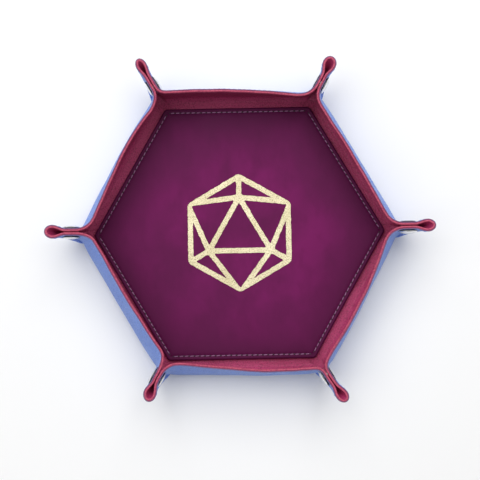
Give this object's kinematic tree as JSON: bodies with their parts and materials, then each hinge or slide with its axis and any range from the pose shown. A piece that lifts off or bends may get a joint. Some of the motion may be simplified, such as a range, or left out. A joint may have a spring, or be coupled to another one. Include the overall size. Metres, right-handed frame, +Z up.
{
  "type": "folding dice tray",
  "caption": "Hexagonal leatherette dice tray with stand-up walls, press-studded corner pleats, a stitched floor pad and a foil emblem; it unfolds flat.",
  "frame": {"origin": "centre of the tray's underside, on the surface it stands on", "axes": "+Z up out of the tray, two of the six corners lie on the X axis, and two walls face along Y"},
  "size_m": [0.2514, 0.22, 0.0401],
  "materials": {
    "outer_cover": "fine pebbled polyurethane leatherette, satin, periwinkle blue",
    "lining": "fine pebbled polyurethane leatherette, satin, raspberry",
    "corner_laminate": "raspberry lining glued to periwinkle cover, cut edges salmon pink",
    "pad_board": "grey board, hidden inside the pad",
    "pad_leatherette": "smooth mottled leatherette, dark plum purple, satin",
    "thread": "mauve grey sewing thread",
    "foil": "grainy pale gold hot foil",
    "press_stud": "bright nickel plate"
  },
  "bodies": {
    "floor": {"outer_cover_base": "outer_cover", "lining_base": "lining", "pad_board": "pad_board", "pad_cover": "pad_leatherette", "pad_thread": "thread", "foil_emblem": "foil"},
    "wall_1": {"cover_wall_1": "outer_cover", "lining_wall_1": "lining"},
    "wall_2": {"cover_wall_2": "outer_cover", "lining_wall_2": "lining"},
    "wall_3": {"cover_wall_3": "outer_cover", "lining_wall_3": "lining"},
    "wall_4": {"cover_wall_4": "outer_cover", "lining_wall_4": "lining"},
    "wall_5": {"cover_wall_5": "outer_cover", "lining_wall_5": "lining"},
    "wall_6": {"cover_wall_6": "outer_cover", "lining_wall_6": "lining"},
    "leaf_1a": {"corner_leaf_1a": "corner_laminate", "snap_cap_1": "press_stud", "snap_socket_1": "press_stud"},
    "leaf_1b": {"corner_leaf_1b": "corner_laminate", "snap_post_1": "press_stud", "snap_stud_1": "press_stud"},
    "leaf_2a": {"corner_leaf_2a": "corner_laminate", "snap_cap_2": "press_stud", "snap_socket_2": "press_stud"},
    "leaf_2b": {"corner_leaf_2b": "corner_laminate", "snap_post_2": "press_stud", "snap_stud_2": "press_stud"},
    "leaf_3a": {"corner_leaf_3a": "corner_laminate", "snap_cap_3": "press_stud", "snap_socket_3": "press_stud"},
    "leaf_3b": {"corner_leaf_3b": "corner_laminate", "snap_post_3": "press_stud", "snap_stud_3": "press_stud"},
    "leaf_4a": {"corner_leaf_4a": "corner_laminate", "snap_cap_4": "press_stud", "snap_socket_4": "press_stud"},
    "leaf_4b": {"corner_leaf_4b": "corner_laminate", "snap_post_4": "press_stud", "snap_stud_4": "press_stud"},
    "leaf_5a": {"corner_leaf_5a": "corner_laminate", "snap_cap_5": "press_stud", "snap_socket_5": "press_stud"},
    "leaf_5b": {"corner_leaf_5b": "corner_laminate", "snap_post_5": "press_stud", "snap_stud_5": "press_stud"},
    "leaf_6a": {"corner_leaf_6a": "corner_laminate", "snap_cap_6": "press_stud", "snap_socket_6": "press_stud"},
    "leaf_6b": {"corner_leaf_6b": "corner_laminate", "snap_post_6": "press_stud", "snap_stud_6": "press_stud"}
  },
  "joints": [
    {"name": "wall_1_fold", "type": "hinge", "parent": "floor", "child": "wall_1", "pos_m": [0.08115, 0.04685, 0.00105], "axis": [-0.5, 0.866, 0], "range_deg": [0, 88]},
    {"name": "wall_2_fold", "type": "hinge", "parent": "floor", "child": "wall_2", "pos_m": [0, 0.0937, 0.00105], "axis": [-1, 0, 0], "range_deg": [0, 88]},
    {"name": "wall_3_fold", "type": "hinge", "parent": "floor", "child": "wall_3", "pos_m": [-0.08115, 0.04685, 0.00105], "axis": [-0.5, -0.866, 0], "range_deg": [0, 88]},
    {"name": "wall_4_fold", "type": "hinge", "parent": "floor", "child": "wall_4", "pos_m": [-0.08115, -0.04685, 0.00105], "axis": [0.5, -0.866, 0], "range_deg": [0, 88]},
    {"name": "wall_5_fold", "type": "hinge", "parent": "floor", "child": "wall_5", "pos_m": [0, -0.0937, 0.00105], "axis": [1, 0, 0], "range_deg": [0, 88]},
    {"name": "wall_6_fold", "type": "hinge", "parent": "floor", "child": "wall_6", "pos_m": [0.08115, -0.04685, 0.00105], "axis": [0.5, 0.866, 0], "range_deg": [0, 88]},
    {"name": "leaf_1a_crease", "type": "hinge", "parent": "wall_1", "child": "leaf_1a", "pos_m": [0.05479, 0.0925, 0.00105], "axis": [-0.0929, -0.1609, 0.9826], "range_deg": [0, 55.73]},
    {"name": "leaf_1b_crease", "type": "hinge", "parent": "wall_2", "child": "leaf_1b", "pos_m": [0.05271, 0.0937, 0.00105], "axis": [0.0929, 0.1609, -0.9826], "range_deg": [0, 55.73]},
    {"name": "leaf_2a_crease", "type": "hinge", "parent": "wall_2", "child": "leaf_2a", "pos_m": [-0.05271, 0.0937, 0.00105], "axis": [0.0929, -0.1609, 0.9826], "range_deg": [0, 55.73]},
    {"name": "leaf_2b_crease", "type": "hinge", "parent": "wall_3", "child": "leaf_2b", "pos_m": [-0.05479, 0.0925, 0.00105], "axis": [-0.0929, 0.1609, -0.9826], "range_deg": [0, 55.73]},
    {"name": "leaf_3a_crease", "type": "hinge", "parent": "wall_3", "child": "leaf_3a", "pos_m": [-0.1075, 0.0012, 0.00105], "axis": [0.1858, 0, 0.9826], "range_deg": [0, 55.73]},
    {"name": "leaf_3b_crease", "type": "hinge", "parent": "wall_4", "child": "leaf_3b", "pos_m": [-0.1075, -0.0012, 0.00105], "axis": [-0.1858, 0, -0.9826], "range_deg": [0, 55.73]},
    {"name": "leaf_4a_crease", "type": "hinge", "parent": "wall_4", "child": "leaf_4a", "pos_m": [-0.05479, -0.0925, 0.00105], "axis": [0.0929, 0.1609, 0.9826], "range_deg": [0, 55.73]},
    {"name": "leaf_4b_crease", "type": "hinge", "parent": "wall_5", "child": "leaf_4b", "pos_m": [-0.05271, -0.0937, 0.00105], "axis": [-0.0929, -0.1609, -0.9826], "range_deg": [0, 55.73]},
    {"name": "leaf_5a_crease", "type": "hinge", "parent": "wall_5", "child": "leaf_5a", "pos_m": [0.05271, -0.0937, 0.00105], "axis": [-0.0929, 0.1609, 0.9826], "range_deg": [0, 55.73]},
    {"name": "leaf_5b_crease", "type": "hinge", "parent": "wall_6", "child": "leaf_5b", "pos_m": [0.05479, -0.0925, 0.00105], "axis": [0.0929, -0.1609, -0.9826], "range_deg": [0, 55.73]},
    {"name": "leaf_6a_crease", "type": "hinge", "parent": "wall_6", "child": "leaf_6a", "pos_m": [0.1075, -0.0012, 0.00105], "axis": [-0.1858, 0, 0.9826], "range_deg": [0, 55.73]},
    {"name": "leaf_6b_crease", "type": "hinge", "parent": "wall_1", "child": "leaf_6b", "pos_m": [0.1075, 0.0012, 0.00105], "axis": [0.1858, 0, -0.9826], "range_deg": [0, 55.73]}
  ],
  "couplings": [
    {"joint": "wall_2_fold", "follows": "wall_1_fold", "ratio": 1},
    {"joint": "wall_3_fold", "follows": "wall_1_fold", "ratio": 1},
    {"joint": "wall_4_fold", "follows": "wall_1_fold", "ratio": 1},
    {"joint": "wall_5_fold", "follows": "wall_1_fold", "ratio": 1},
    {"joint": "wall_6_fold", "follows": "wall_1_fold", "ratio": 1},
    {"joint": "leaf_1a_crease", "follows": "wall_1_fold", "ratio": 0.62766},
    {"joint": "leaf_1b_crease", "follows": "wall_1_fold", "ratio": 0.62766},
    {"joint": "leaf_2a_crease", "follows": "wall_1_fold", "ratio": 0.62766},
    {"joint": "leaf_2b_crease", "follows": "wall_1_fold", "ratio": 0.62766},
    {"joint": "leaf_3a_crease", "follows": "wall_1_fold", "ratio": 0.62766},
    {"joint": "leaf_3b_crease", "follows": "wall_1_fold", "ratio": 0.62766},
    {"joint": "leaf_4a_crease", "follows": "wall_1_fold", "ratio": 0.62766},
    {"joint": "leaf_4b_crease", "follows": "wall_1_fold", "ratio": 0.62766},
    {"joint": "leaf_5a_crease", "follows": "wall_1_fold", "ratio": 0.62766},
    {"joint": "leaf_5b_crease", "follows": "wall_1_fold", "ratio": 0.62766},
    {"joint": "leaf_6a_crease", "follows": "wall_1_fold", "ratio": 0.62766},
    {"joint": "leaf_6b_crease", "follows": "wall_1_fold", "ratio": 0.62766}
  ]
}
